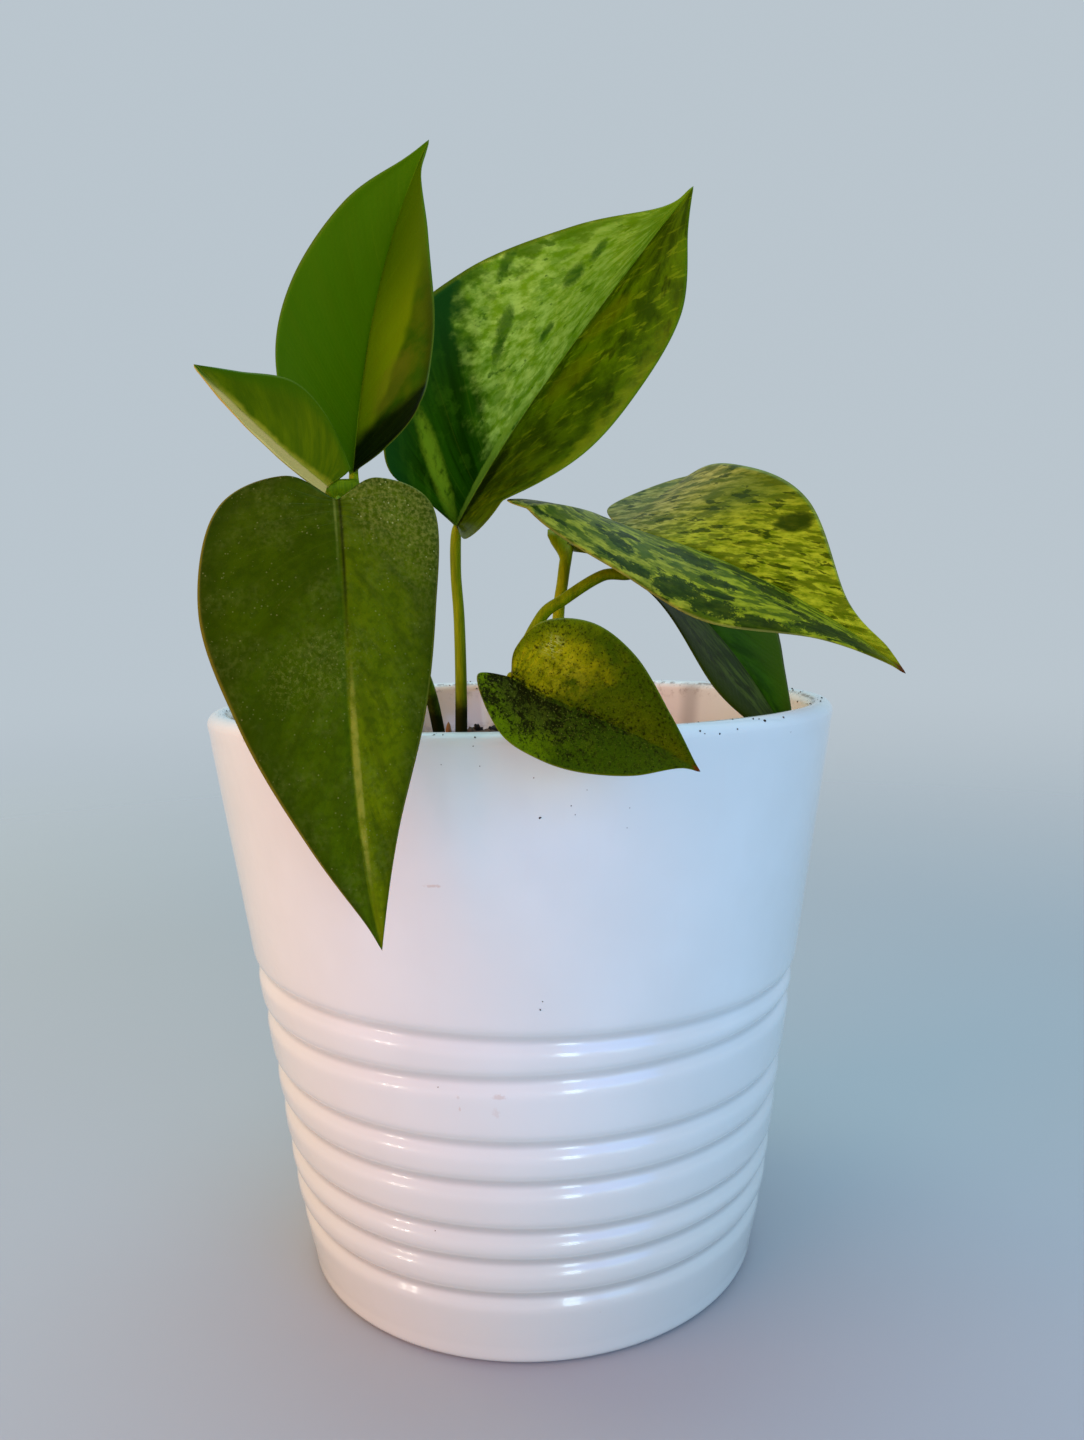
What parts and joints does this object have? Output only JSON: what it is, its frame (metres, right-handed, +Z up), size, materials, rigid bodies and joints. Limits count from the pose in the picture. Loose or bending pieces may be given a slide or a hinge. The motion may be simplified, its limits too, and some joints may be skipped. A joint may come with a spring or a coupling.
{
  "type": "potted pothos",
  "caption": "Small house plant: marbled heart-shaped leaves on thin stalks that rise from soil in a tapered white pot with turned grooves.",
  "frame": {"origin": "middle of the pot's flat underside, on the surface it stands on", "axes": "+Z up along the pot's axis, -Y the side that the picture shows, +X to its right"},
  "size_m": [0.1456, 0.1581, 0.2411],
  "materials": {
    "glaze_white": "smooth white glaze, satin gloss",
    "potting_soil": "loose dark potting soil, matt",
    "leaf_olive": "dark olive leaf, waxy, dusty",
    "leaf_green": "mid green leaf, waxy",
    "leaf_marbled": "green leaf marbled with pale green, waxy",
    "leaf_lime": "yellow-green leaf with dark specks, waxy",
    "leaf_dark": "deep green leaf with a grey-green side, waxy",
    "stalk_olive": "olive stem, smooth",
    "stalk_yellow": "yellow-green stem, smooth"
  },
  "bodies": {
    "root": {"pot": "glaze_white", "soil": "potting_soil", "vine_stem": "stalk_olive", "stalk_hanging": "stalk_olive", "stalk_upright": "stalk_olive", "stalk_young": "stalk_olive", "stalk_tall": "stalk_olive", "stalk_arching": "stalk_olive", "stalk_small": "stalk_yellow", "stalk_drooping": "stalk_yellow", "leaf_hanging": "leaf_olive", "leaf_upright": "leaf_green", "leaf_young": "leaf_green", "leaf_tall": "leaf_marbled", "leaf_arching": "leaf_marbled", "leaf_small": "leaf_lime", "leaf_drooping": "leaf_dark"}
  },
  "joints": []
}
